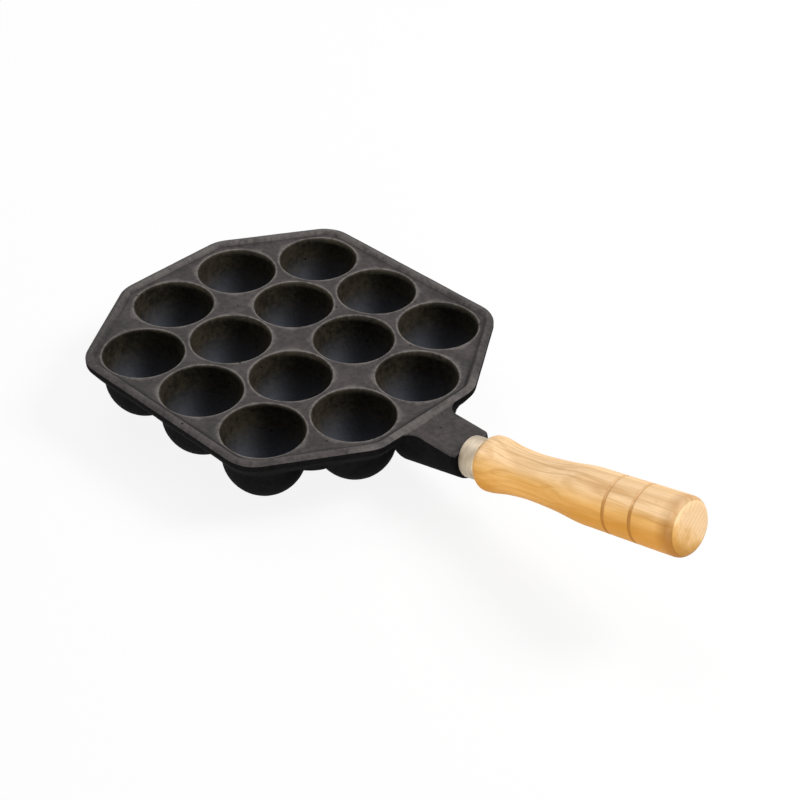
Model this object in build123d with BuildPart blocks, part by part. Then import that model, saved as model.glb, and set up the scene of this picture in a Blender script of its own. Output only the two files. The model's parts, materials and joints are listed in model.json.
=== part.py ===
# Takoyaki pan: a cast iron plate with fourteen ball cups and a turned wooden handle.
# Millimetres, +Z up, +X towards the handle. The origin is under the middle of the
# whole pan, on the surface that the cups stand on.
import os
from math import atan, atan2, cos, degrees, radians, sin, sqrt, tan

from build123d import *

os.makedirs("parts", exist_ok=True)

# plate outline
plate_length = 180.2        # across the two end edges
plate_width = 165.4         # across the two long edges
corner_reach = 92.3         # from the plate's middle out to each cut-off corner edge
corner_angle = 32.6         # degrees from +X to a corner edge's outward direction
corner_radius = 17.0        # rounding of the eight outline corners
plate_thickness = 6.5       # cooking surface to underside
skirt_height = 2.2          # upright part of the edge, below the cooking surface
skirt_inset = 3.0           # how far the edge leans in below that

# raised rim round the cooking surface
rim_height = 1.9            # crest above the cooking surface
rim_shoulder = 0.8          # how far the outer edge is below the crest
rim_slope_width = 2.7       # outer edge to crest
rim_crest_width = 0.7       # across the crest
rim_wall_width = 1.6        # crest to the foot of the inner wall
rim_crest_rounding = 0.9
rim_edge_rounding = 1.0
rim_foot_rounding = 0.8
skirt_rounding = 1.6        # where the edge starts to lean in

# cups
cup_pitch = 42.0            # centre to centre along a row
middle_row_gap = 41.0       # between the two rows of four
outer_row_gap = 36.4        # between a row of four and a row of three
cups_in_middle_row = 4
cups_in_outer_row = 3
cup_mouth_diameter = 40.3
cup_lip_radius = 1.1
cup_depth = 25.5
cup_bottom_radius = 16.0    # the sides above it are steeper
dome_radius = 19.5          # round outer bottom of each cup
dome_depth = 32.2           # cooking surface to the flat of the foot
foot_diameter = 9.0
dome_flare = 6.5            # hollow rounding where a dome meets the underside

# socket block for the handle, part of the casting
handle_tilt = 14.26         # degrees that the handle climbs
socket_stand_out = 27.2     # end face beyond the plate's end edge, on the handle axis
socket_drop = 5.5           # axis below the cooking surface, at the end face
socket_length = 44.0        # end face back to the root between two domes
socket_width = 24.2
socket_depth = 10.4         # axis to the rounded underside
socket_top = 0.6            # block's flat top above the cooking surface
socket_end_rounding = 2.2   # round the end face's sides and bottom
socket_top_rounding = 1.1
socket_root_rounding = 8.0
web_top_radius = 5.0        # hollow corners between block and plate, at the top
web_bottom_radius = 13.0    # and at the plate's underside
web_lap = 0.2               # straight stretch at both ends of a hollow corner
socket_hole_depth = 20.0

# stud, ferrule and handle, measured out along the handle axis
stud_diameter = 8.0
stud_in_socket = 15.0
stud_in_wood = 42.0
stud_chamfer = 0.8
stud_clearance = 0.05       # radial, stud to socket hole and to handle bore
bore_spare = 3.0            # bore left empty past the stud's end
ferrule_diameter = 19.3
ferrule_wall = 0.8
ferrule_length = 8.7
ferrule_edge = 0.25
tenon_clearance = 0.05      # radial, wood inside the ferrule
tenon_setback = 0.5         # tenon's end behind the ferrule's end
handle_length = 112.3       # wood beyond the ferrule
shoulder_radius = 12.8      # swelling next to the ferrule
shoulder_place = 4.6        # ferrule to the fullest point of the swelling
neck_radius = 11.1
neck_place = 17.0
waist_radius = 10.4
waist_place = 29.0
swell_radius = 11.1
swell_place = 44.5
belly_radius = 12.75
belly_place = 62.5
butt_radius = 13.0
butt_rounding = 4.0
groove_setbacks = (36.0, 22.0)  # turned grooves, before the handle's end
groove_radius = 0.8         # round bottom of each turned groove
groove_depth = 0.5

# places worked out from the sizes above
end_half = plate_length / 2
side_half = plate_width / 2
rim_width = rim_slope_width + rim_crest_width + rim_wall_width
rim_edge = rim_height - rim_shoulder
climb_cos = cos(radians(handle_tilt))
climb_sin = sin(radians(handle_tilt))
socket_reach = end_half + socket_stand_out
wood_start = ferrule_length
wood_end = wood_start + handle_length
handle_reach = (
    (wood_end - butt_rounding) * climb_cos
    + (butt_radius - butt_rounding) * climb_sin
    + butt_rounding
)
plate_x = (end_half - socket_reach - handle_reach) / 2
surface_z = dome_depth
socket_centre = (plate_x + socket_reach, 0, surface_z - socket_drop)
axis_direction = (climb_cos, 0, climb_sin)
handle_axis = Axis(socket_centre, axis_direction)
handle_section = Plane(socket_centre, x_dir=axis_direction, z_dir=(0, -1, 0))
socket_face = Plane(socket_centre, x_dir=(0, 1, 0), z_dir=axis_direction)


def plate_level(height):
    """Level plane over the plate's middle, height above the cooking surface."""
    return Plane((plate_x, 0, surface_z + height))


def outline_points(inset):
    """Eight corners of the plate's outline, moved in by inset."""
    half_x = end_half - inset
    half_y = side_half - inset
    reach = corner_reach - inset
    across = cos(radians(corner_angle))
    along = sin(radians(corner_angle))
    end_y = (reach - across * half_x) / along
    side_x = (reach - along * half_y) / across
    quarter = [(half_x, end_y), (side_x, half_y)]
    points = []
    for sign_x, sign_y, order in ((1, 1, 1), (-1, 1, -1), (-1, -1, 1), (1, -1, -1)):
        points += [(sign_x * x, sign_y * y) for x, y in quarter[::order]]
    return points


def cup_centres():
    """Centres of the cups on the plate, row by row."""
    centres = []
    near_y = middle_row_gap / 2
    far_y = near_y + outer_row_gap
    for count, y in (
        (cups_in_outer_row, far_y),
        (cups_in_middle_row, near_y),
        (cups_in_middle_row, -near_y),
        (cups_in_outer_row, -far_y),
    ):
        for i in range(count):
            centres.append(((i - (count - 1) / 2) * cup_pitch, y))
    return centres


def outline_face(inset):
    """Plate's outline as a flat face, moved in by inset."""
    with BuildSketch() as outline:
        Polygon(*outline_points(inset), align=None)
        fillet(outline.vertices(), corner_radius - inset)
    return outline.sketch


cup_places = [Location((plate_x + x, y, surface_z)) for x, y in cup_centres()]

# one solid dome, its cup's mouth at the origin, hollowed into the underside by a flare
foot_edge = (foot_diameter / 2, -dome_depth)
round_centre = dome_depth - sqrt(dome_radius**2 - foot_edge[0] ** 2)
flare_drop = plate_thickness + dome_flare - round_centre
flare_reach = sqrt((dome_radius + dome_flare) ** 2 - flare_drop**2)
dome_share = dome_radius / (dome_radius + dome_flare)
dome_side = (dome_share * flare_reach, -round_centre - dome_share * flare_drop)
flare_end = (flare_reach, -plate_thickness)
with BuildPart() as dome:
    with BuildSketch(Plane.XZ):
        with BuildLine():
            Line((0, -dome_depth), foot_edge)
            RadiusArc(foot_edge, dome_side, -dome_radius)
            RadiusArc(dome_side, flare_end, dome_flare)
            Polyline(
                flare_end,
                (flare_reach, -plate_thickness / 2),
                (0, -plate_thickness / 2),
                (0, -dome_depth),
            )
        make_face()
    revolve(axis=Axis.Z)

# all the domes, kept inside the plate's underside
with BuildPart() as domes:
    with Locations(*cup_places):
        add(dome.part)
    with BuildSketch(plate_level(0)):
        add(outline_face(skirt_inset))
    extrude(amount=-dome_depth, mode=Mode.INTERSECT)

# hollow of one cup: round bottom, steeper sides and a rounded lip
mouth_radius = cup_mouth_diameter / 2
lip_start = (mouth_radius - cup_lip_radius, -cup_lip_radius)
bottom_centre = cup_depth - cup_bottom_radius
side_drop = bottom_centre - cup_lip_radius
side_radius = (lip_start[0] ** 2 + side_drop**2 - cup_bottom_radius**2) / (
    2 * (lip_start[0] - cup_bottom_radius)
)
bend_share = cup_bottom_radius / (side_radius - cup_bottom_radius)
cup_bend = (
    bend_share * (side_radius - lip_start[0]),
    -bottom_centre - bend_share * side_drop,
)
with BuildPart() as cup_hollow:
    with BuildSketch(Plane.XZ):
        with BuildLine():
            cup_bottom = TangentArc((0, -cup_depth), cup_bend, tangent=(1, 0))
            TangentArc(cup_bend, lip_start, tangent=cup_bottom % 1)
            TangentArc(lip_start, (mouth_radius, 0), tangent=(0, 1))
            Polyline(
                (mouth_radius, 0),
                (mouth_radius, rim_height),
                (0, rim_height),
                (0, -cup_depth),
            )
        make_face()
    revolve(axis=Axis.Z)

# block that takes the handle, before its top is cut level
block_half = socket_width / 2
block_rise = block_half - socket_depth
block_height = socket_length * climb_sin + socket_drop + rim_height
with BuildPart() as socket_block:
    with BuildSketch(socket_face):
        with BuildLine():
            CenterArc((0, block_rise), block_half, 180, 180)
            Polyline(
                (block_half, block_rise),
                (block_half, block_height),
                (-block_half, block_height),
                (-block_half, block_rise),
            )
        make_face()
    extrude(amount=-socket_length)
    block_ends = socket_block.faces().sort_by(handle_axis)
    root_edge = block_ends[0].edges().filter_by(GeomType.CIRCLE)
    end_edges = block_ends[-1].edges().sort_by(Axis.Z)[:-1]
    fillet(root_edge, socket_root_rounding)
    fillet(end_edges, socket_end_rounding)


def web_face(edge_x, radius):
    """Outline of the web between the plate's edge and the block's two sides."""
    reach = radius + web_lap
    half_y = block_half + reach
    with BuildSketch() as web:
        Polygon(
            (edge_x - rim_width, half_y),
            (edge_x - rim_width, -half_y),
            (edge_x, -half_y),
            (edge_x, -block_half),
            (edge_x + reach, -block_half),
            (edge_x + reach, block_half),
            (edge_x, block_half),
            (edge_x, half_y),
            align=None,
        )
        hollow_corners = web.vertices().filter_by(
            lambda v: abs(v.X - edge_x) < 0.01 and abs(abs(v.Y) - block_half) < 0.01
        )
        fillet(hollow_corners, radius)
    return web.sketch


def is_block_top_edge(edge):
    """True for the edges round the block's top, outside the plate."""
    place = edge.center()
    beyond_plate = place.X > plate_x + end_half + 0.01
    on_top = place.Z > surface_z + socket_top - 0.01
    crosses_block = abs(place.X - plate_x - slope_end) < 0.01
    return beyond_plate and on_top and not crosses_block


# block and webs, cut level on top where the rim's slope runs out
slope_end = end_half + (rim_edge - socket_top) * rim_slope_width / rim_shoulder
crest_start = end_half - rim_slope_width / 2
crest_height = rim_height - rim_shoulder / 2
with BuildPart() as socket:
    add(socket_block.part)
    with BuildSketch(plate_level(-skirt_height)):
        add(web_face(end_half, web_top_radius))
    extrude(amount=skirt_height + rim_height)
    with BuildSketch(plate_level(-skirt_height)):
        add(web_face(end_half, web_top_radius))
    with BuildSketch(plate_level(-plate_thickness)):
        add(web_face(end_half - skirt_inset, web_bottom_radius))
    loft(ruled=True)
    with BuildSketch(Plane.XZ) as side_view:
        Polygon(
            (plate_x, surface_z - plate_thickness / 2),
            (plate_x + crest_start, surface_z - plate_thickness / 2),
            (plate_x + crest_start, surface_z + crest_height),
            (plate_x + slope_end, surface_z + socket_top),
            (plate_x + socket_reach + socket_width, surface_z + socket_top),
            (plate_x + socket_reach + socket_width, 0),
            (plate_x, 0),
            align=None,
        )
    extrude(amount=plate_width / 2, both=True, mode=Mode.INTERSECT)
    fillet(socket.edges().filter_by(is_block_top_edge), socket_top_rounding)

# plate with its rim, then everything cast in one with it
with BuildPart() as pan_casting:
    with BuildSketch(plate_level(-skirt_height)):
        add(outline_face(0))
    extrude(amount=skirt_height + rim_edge)
    with BuildSketch(plate_level(rim_edge)):
        add(outline_face(0))
    extrude(amount=rim_shoulder, taper=degrees(atan(rim_slope_width / rim_shoulder)))
    skirt_drop = plate_thickness - skirt_height
    with BuildSketch(plate_level(-skirt_height)):
        add(outline_face(0))
    extrude(amount=-skirt_drop, taper=degrees(atan(skirt_inset / skirt_drop)))
    with BuildSketch(plate_level(0)):
        add(outline_face(rim_width))
    wall_taper = degrees(atan(rim_wall_width / rim_height))
    extrude(amount=rim_height, taper=-wall_taper, mode=Mode.SUBTRACT)
    for height, rounding in (
        (rim_height, rim_crest_rounding),
        (rim_edge, rim_edge_rounding),
        (0, rim_foot_rounding),
        (-skirt_height, skirt_rounding),
    ):
        level = surface_z + height
        fillet(pan_casting.edges().filter_by_position(Axis.Z, level, level), rounding)
    add(socket.part)
    add(domes.part)
    with Locations(*cup_places):
        add(cup_hollow.part, mode=Mode.SUBTRACT)
    with BuildSketch(socket_face):
        Circle(stud_diameter / 2 + stud_clearance)
    extrude(amount=-socket_hole_depth, mode=Mode.SUBTRACT)
pan_casting.part.label = "pan_casting"
export_step(pan_casting.part, "parts/pan_casting.step")

# stud, half in the socket and half in the wood
stud_length = stud_in_socket + stud_in_wood
with BuildPart() as handle_stud:
    with BuildSketch(socket_face.offset(-stud_in_socket)):
        Circle(stud_diameter / 2)
    extrude(amount=stud_length)
    chamfer(handle_stud.edges().filter_by(GeomType.CIRCLE), stud_chamfer)
handle_stud.part.label = "handle_stud"
export_step(handle_stud.part, "parts/handle_stud.step")

# ferrule, a plain metal ring between the block and the wood
ferrule_radius = ferrule_diameter / 2
with BuildPart() as ferrule:
    with BuildSketch(socket_face):
        Circle(ferrule_radius)
        Circle(ferrule_radius - ferrule_wall, mode=Mode.SUBTRACT)
    extrude(amount=ferrule_length)
    ring_edges = ferrule.edges().filter_by(GeomType.CIRCLE)
    fillet(ring_edges.group_by(SortBy.RADIUS)[-1], ferrule_edge)
ferrule.part.label = "ferrule"
export_step(ferrule.part, "parts/ferrule.step")

# turned wooden handle, on a tenon inside the ferrule and with a bore for the stud
tenon_radius = ferrule_radius - ferrule_wall - tenon_clearance
bore_radius = stud_diameter / 2 + stud_clearance
bore_end = stud_in_wood + bore_spare
butt_start = wood_end - butt_rounding


def line_height(line, place):
    """Height of a line at a place along X, found by halving."""
    low = 0.0
    high = 1.0
    for _ in range(30):
        middle = (low + high) / 2
        if (line @ middle).X < place:
            low = middle
        else:
            high = middle
    return (line @ low).Y


with BuildPart() as wood_handle:
    with BuildSketch(handle_section):
        with BuildLine():
            Spline(
                (wood_start, ferrule_radius),
                (wood_start + shoulder_place, shoulder_radius),
                tangents=((1, 1), (1, 0)),
            )
            Spline(
                (wood_start + shoulder_place, shoulder_radius),
                (wood_start + neck_place, neck_radius),
                (wood_start + waist_place, waist_radius),
                (wood_start + swell_place, swell_radius),
                (wood_start + belly_place, belly_radius),
                tangents=((1, 0), (1, 0)),
            )
            grip_line = Spline(
                (wood_start + belly_place, belly_radius),
                (butt_start, butt_radius),
                tangents=((1, 0), (1, 0)),
            )
            RadiusArc(
                (butt_start, butt_radius),
                (wood_end, butt_radius - butt_rounding),
                butt_rounding,
            )
            Polyline(
                (wood_end, butt_radius - butt_rounding),
                (wood_end, 0),
                (bore_end, 0),
                (bore_end, bore_radius),
                (tenon_setback, bore_radius),
                (tenon_setback, tenon_radius),
                (wood_start, tenon_radius),
                (wood_start, ferrule_radius),
            )
        make_face()
    revolve(axis=handle_axis)
    for setback in groove_setbacks:
        place = wood_end - setback
        groove_centre = line_height(grip_line, place) + groove_radius - groove_depth
        with BuildSketch(handle_section):
            with Locations((place, groove_centre)):
                Circle(groove_radius)
        revolve(axis=handle_axis, mode=Mode.SUBTRACT)
wood_handle.part.label = "wood_handle"
export_step(wood_handle.part, "parts/wood_handle.step")
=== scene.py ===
import json
import math

import bmesh
import bpy
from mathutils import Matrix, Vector, noise


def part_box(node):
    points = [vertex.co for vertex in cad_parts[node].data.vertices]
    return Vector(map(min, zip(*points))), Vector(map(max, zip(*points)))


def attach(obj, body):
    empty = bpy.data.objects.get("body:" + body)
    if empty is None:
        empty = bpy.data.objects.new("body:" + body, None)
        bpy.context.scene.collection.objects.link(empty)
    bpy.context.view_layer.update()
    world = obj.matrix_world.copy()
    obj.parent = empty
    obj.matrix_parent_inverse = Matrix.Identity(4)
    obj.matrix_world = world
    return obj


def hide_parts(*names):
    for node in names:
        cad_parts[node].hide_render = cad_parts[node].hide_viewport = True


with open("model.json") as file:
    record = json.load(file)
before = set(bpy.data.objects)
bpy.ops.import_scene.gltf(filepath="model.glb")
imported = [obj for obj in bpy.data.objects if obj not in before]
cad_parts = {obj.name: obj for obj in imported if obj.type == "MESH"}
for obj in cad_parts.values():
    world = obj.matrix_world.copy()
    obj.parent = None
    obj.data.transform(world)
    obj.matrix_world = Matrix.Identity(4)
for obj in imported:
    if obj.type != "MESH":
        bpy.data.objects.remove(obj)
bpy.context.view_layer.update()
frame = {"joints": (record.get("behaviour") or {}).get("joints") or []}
print("frame loaded")

mm = 0.001
waveUnit = 0.314              # spacing of a wave texture at a scale of 1

# where the plate and the handle are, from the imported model
castingLow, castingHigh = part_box("pan_casting")
rimHeight = 1.9
plateLength = 180.2
plateMiddle = Vector((castingLow.x + plateLength / 2 * mm, 0, castingHigh.z - rimHeight * mm))
turnJoint = [joint for joint in frame["joints"] if joint["name"] == "handle_turn"][0]
axisStart = Vector(turnJoint["pos_m"])
axisAlong = Vector(turnJoint["axis"]).normalized()
axisSide = Vector((0, 1, 0))
axisUp = axisAlong.cross(axisSide)
handleTilt = math.atan2(axisAlong.z, axisAlong.x)


def axisPoint(along, angle, radius):
    across = axisSide * math.cos(angle) + axisUp * math.sin(angle)
    return axisStart + (axisAlong * along + across * radius) * mm


def newObject(name, data):
    made = bpy.data.objects.new(name, data)
    bpy.context.scene.collection.objects.link(made)
    return made


def put(tree, kind, inputs=None, **settings):
    node = tree.nodes.new(kind)
    for key, value in settings.items():
        setattr(node, key, value)
    for key, value in (inputs or {}).items():
        if isinstance(value, bpy.types.NodeSocket):
            tree.links.new(value, node.inputs[key])
        else:
            node.inputs[key].default_value = value
    return node


def grey(level):
    return (level, level, level, 1)


def emptyTree(owner):
    owner.use_nodes = True
    owner.node_tree.nodes.clear()
    return owner.node_tree


def startMaterial(name, inputs):
    material = bpy.data.materials.new(name)
    tree = emptyTree(material)
    shader = put(tree, "ShaderNodeBsdfPrincipled", inputs)
    put(tree, "ShaderNodeOutputMaterial", {"Surface": shader.outputs[0]})
    return material, tree, shader


def joinUp(tree, shader, colour, roughness, normal):
    for name, value in (("Base Color", colour), ("Roughness", roughness), ("Normal", normal)):
        tree.links.new(value, shader.inputs[name])


def moved(tree, vector, **inputs):
    return put(tree, "ShaderNodeMapping", {"Vector": vector, **inputs}, vector_type="TEXTURE").outputs[0]


def millimetres(tree):
    place = put(tree, "ShaderNodeTexCoord").outputs["Object"]
    return moved(tree, place, Scale=(mm, mm, mm))


# the handle's own directions: along it, across it and up, in millimetres from the ferrule's inner end
def alongHandle(tree):
    place = put(tree, "ShaderNodeTexCoord").outputs["Object"]
    return moved(tree, place, Location=axisStart, Rotation=(0, -handleTilt, 0), Scale=(mm, mm, mm))


# textures take their size or spacing in millimetres, then detail and roughness
def noiseOf(tree, vector, size, detail=3.0, rough=0.5):
    inputs = {"Vector": vector, "Scale": 1 / size, "Detail": detail, "Roughness": rough}
    return put(tree, "ShaderNodeTexNoise", inputs).outputs[0]


# noise drawn out along the first direction
def grainOf(tree, vector, length, *noiseValues):
    return noiseOf(tree, moved(tree, vector, Scale=(length, 1, 1)), *noiseValues)


def wavesOf(tree, vector, spacing, inputs, **settings):
    inputs = {"Vector": vector, "Scale": waveUnit / spacing, **inputs}
    return put(tree, "ShaderNodeTexWave", inputs, **settings).outputs["Fac"]


# distance from the middle of scattered spots; this share of the cells has one
def spotsOf(tree, vector, size, share):
    cells = put(tree, "ShaderNodeTexVoronoi", {"Vector": vector, "Scale": 1 / size})
    chosen = put(tree, "ShaderNodeSeparateColor", {"Color": cells.outputs["Color"]})
    skipped = maths(tree, "GREATER_THAN", chosen.outputs[0], share)
    return maths(tree, "ADD", cells.outputs["Distance"], skipped)


def marked(tree, name):
    return put(tree, "ShaderNodeAttribute", attribute_name=name).outputs["Fac"]


def ranged(tree, value, low, high, toLow=0.0, toHigh=1.0):
    inputs = {"Value": value, "From Min": low, "From Max": high, "To Min": toLow, "To Max": toHigh}
    return put(tree, "ShaderNodeMapRange", inputs).outputs[0]


# the usual values of a noise, spread from low to high
def spread(tree, value, low, high):
    return ranged(tree, value, 0.3, 0.7, low, high)


# this node's inputs 6 and 7 and its output 2 are the ones for colours
def mixed(tree, factor, first, second):
    return put(tree, "ShaderNodeMix", {"Factor": factor, 6: first, 7: second}, data_type="RGBA").outputs[2]


def maths(tree, operation, first, second=0.0):
    return put(tree, "ShaderNodeMath", {0: first, 1: second}, operation=operation).outputs[0]


def bumped(tree, height, depth, normal=None):
    inputs = {"Height": height, "Distance": depth * mm}
    if normal:
        inputs["Normal"] = normal
    return put(tree, "ShaderNodeBump", inputs).outputs[0]


# camera, measured from the plate's middle in millimetres and degrees
camera = {
    "place": (532.67, -470.99, 506.91),
    "elevation": 37.48,
    "azimuth": 44.37,
    "lens": 82.13,
    "sensor": 36.0,
    "sightEnd": 20.0,         # metres
}


def addCamera():
    data = bpy.data.cameras.new("camera")
    data.lens = camera["lens"]
    data.sensor_width = camera["sensor"]
    data.clip_end = camera["sightEnd"]
    eye = newObject("camera", data)
    eye.location = plateMiddle + Vector(camera["place"]) * mm
    eye.rotation_euler = (math.radians(90 - camera["elevation"]), 0, math.radians(camera["azimuth"]))
    bpy.context.scene.camera = eye


# soft studio light, in metres and watts; each lamp is placed by its direction as the camera sees it
studio = {
    "floorSize": 8.0,
    "floorGlow": 0.88,        # share of plain white in what the camera sees of the floor, under the pan
    "glowRange": (0.25, 0.9), # metres from the pan over which that share grows to all
    "floorWhite": 0.95,
    "floorBounce": 0.62,      # colour that the floor throws back on the object
    "worldFill": 0.12,
    "lamps": {                # direction to the right, back and up; distance; width and height; power
        "keyLamp": ((1.0, 0.05, 1.0), 1.3, (0.5, 0.5), 15.0),
        "backLamp": ((-0.3, 0.75, 1.2), 1.5, (1.2, 1.2), 8.0),
        "fillLamp": ((-0.45, -1.0, 0.05), 1.6, (0.7, 0.12), 24.0),
    },
}


def seenDirectly(tree):
    path = put(tree, "ShaderNodeLightPath").outputs
    seen = maths(tree, "MAXIMUM", path["Is Camera Ray"], path["Is Glossy Ray"])
    return maths(tree, "MAXIMUM", seen, path["Is Transmission Ray"])


def blended(tree, factor, first, second):
    return put(tree, "ShaderNodeMixShader", {0: factor, 1: first.outputs[0], 2: second.outputs[0]})


def addFloor():
    half = studio["floorSize"] / 2
    mesh = bpy.data.meshes.new("floor")
    corners = [(-half, -half, 0), (half, -half, 0), (half, half, 0), (-half, half, 0)]
    mesh.from_pydata(corners, [], [(0, 1, 2, 3)])
    floor = newObject("floor", mesh)
    material = bpy.data.materials.new("paleFloor")
    tree = emptyTree(material)
    glow = put(tree, "ShaderNodeEmission", {"Color": grey(1)})
    matt = put(tree, "ShaderNodeBsdfDiffuse", {"Color": grey(studio["floorWhite"])})
    dull = put(tree, "ShaderNodeBsdfDiffuse", {"Color": grey(studio["floorBounce"])})
    place = put(tree, "ShaderNodeTexCoord")
    away = put(tree, "ShaderNodeVectorMath", {0: place.outputs["Object"]}, operation="LENGTH")
    near, far = studio["glowRange"]
    share = ranged(tree, away.outputs["Value"], near, far, studio["floorGlow"], 1.0)
    both = blended(tree, seenDirectly(tree), dull, blended(tree, share, matt, glow))
    put(tree, "ShaderNodeOutputMaterial", {"Surface": both.outputs[0]})
    mesh.materials.append(material)


def addWorld():
    world = bpy.data.worlds.new("studio")
    tree = emptyTree(world)
    white = put(tree, "ShaderNodeBackground", {"Color": grey(1), "Strength": 1})
    fill = put(tree, "ShaderNodeBackground", {"Color": grey(1), "Strength": studio["worldFill"]})
    both = blended(tree, seenDirectly(tree), fill, white)
    put(tree, "ShaderNodeOutputWorld", {"Surface": both.outputs[0]})
    bpy.context.scene.world = world


def addLamps():
    turn = math.radians(camera["azimuth"])
    right = Vector((math.cos(turn), math.sin(turn), 0))
    back = Vector((-math.sin(turn), math.cos(turn), 0))
    for name, ((toRight, toBack, toTop), distance, size, power) in studio["lamps"].items():
        data = bpy.data.lights.new(name, "AREA")
        data.shape = "RECTANGLE"
        data.size, data.size_y = size
        data.energy = power
        direction = (right * toRight + back * toBack + Vector((0, 0, toTop))).normalized()
        lamp = newObject(name, data)
        lamp.location = plateMiddle + direction * distance
        lamp.rotation_euler = direction.to_track_quat("Z", "Y").to_euler()


bpy.context.scene.view_settings.view_transform = "Standard"
addCamera()
addFloor()
addWorld()
addLamps()
print("camera, floor and lamps placed")


# black iron as it comes from the sand: cloudy colour, fine grain, a few pits; sizes in millimetres.
# a range is where a noise or mark starts and is full, then its least and most where not 0 and 1
iron = {
    "clouds": (16.0, 4.0),
    "cloudWeight": 0.7,
    "mottle": (2.6, 5.0, 0.65),
    "brownRange": (0.70, 1.0),
    "scrapes": (0.8, 3.0, 0.6),       # fine level lines round the cup walls
    "scrapeStretch": (7.0, 7.0, 1.0),
    "scrapeRange": (0.54, 0.66, 0.0, 0.45),
    "bottomLightRange": (0.35, 0.85),
    "litAndBareRange": (0.70, 0.95, 0.4, 0.9),
    # near-black for painted shade, and for the pits
    "shadeRange": (0.0, 0.75),
    "pitsAndShade": (0.004, 0.0035, 0.003, 1),
    "grain": (0.9, 3.0, 0.6),
    "grainDepth": 0.16,
    "dimples": (3.0, 2.0),
    "dimpleDepth": 0.22,
    "pitSize": 6.0,
    "pitShare": 0.25,
    "pitRange": (0.05, 0.12),
    "pitDepth": 0.5,
    "tones": {
        "ironTop": {
            "black": (0.030, 0.0255, 0.026, 1),
            "brown": (0.066, 0.057, 0.055, 1),
            # lighter colour for painted highlight, and for wear on the crest
            "litAndBare": (0.25, 0.23, 0.215, 1),
            "roughness": (0.42, 0.60),
            "specular": 0.11,
        },
        "ironCup": {
            "black": (0.014, 0.012, 0.009, 1),
            "brown": (0.042, 0.035, 0.024, 1),
            # painted light: the cups' floors lighter and bluish, as if lit from above
            "bottom": (0.054, 0.058, 0.072, 1),
            "litAndBare": (0.25, 0.23, 0.215, 1),
            "roughness": (0.42, 0.64),
            "specular": 0.07,
        },
        # darker copy of the iron for faces that don't look up: painted shade
        "ironUnderShaded": {
            "black": (0.0030, 0.0030, 0.0033, 1),
            "brown": (0.0066, 0.0061, 0.0060, 1),
            "litAndBare": (0.009, 0.008, 0.008, 1),
            "roughness": (0.70, 0.88),
            "specular": 0.02,
        },
    },
}


def ironMaterial(name, tone):
    material, tree, shader = startMaterial(name, {"Specular IOR Level": tone["specular"]})
    place = millimetres(tree)
    clouds = noiseOf(tree, place, *iron["clouds"])
    mottle = noiseOf(tree, place, *iron["mottle"])
    scrapes = noiseOf(tree, moved(tree, place, Scale=iron["scrapeStretch"]), *iron["scrapes"])
    both = maths(tree, "ADD", maths(tree, "MULTIPLY", clouds, iron["cloudWeight"]), mottle)
    colour = mixed(tree, ranged(tree, both, *iron["brownRange"]), tone["black"], tone["brown"])
    colour = mixed(tree, ranged(tree, scrapes, *iron["scrapeRange"]), colour, tone["brown"])
    # painted light on the cups' floors, growing with depth
    depth = ranged(tree, marked(tree, "cupDepth"), *iron["bottomLightRange"])
    colour = mixed(tree, depth, colour, tone.get("bottom", tone["black"]))
    # lighter, unevenly: painted highlight on the lips and rim, and some wear on the crest
    litAndWorn = maths(tree, "MULTIPLY", marked(tree, "litAndRubbed"), ranged(tree, both, *iron["litAndBareRange"]))
    colour = mixed(tree, litAndWorn, colour, tone["litAndBare"])
    # painted shade at the rim's foot and on the far rim's outer wall
    shaded = ranged(tree, marked(tree, "pitsAndShade"), *iron["shadeRange"])
    colour = mixed(tree, shaded, colour, iron["pitsAndShade"])
    hole = ranged(tree, spotsOf(tree, place, iron["pitSize"], iron["pitShare"]), *iron["pitRange"])
    colour = mixed(tree, hole, iron["pitsAndShade"], colour)
    shape = bumped(tree, hole, iron["pitDepth"])
    shape = bumped(tree, noiseOf(tree, place, *iron["dimples"]), iron["dimpleDepth"], shape)
    shape = bumped(tree, noiseOf(tree, place, *iron["grain"]), iron["grainDepth"], shape)
    joinUp(tree, shader, colour, spread(tree, mottle, *tone["roughness"]), shape)
    return material


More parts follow.
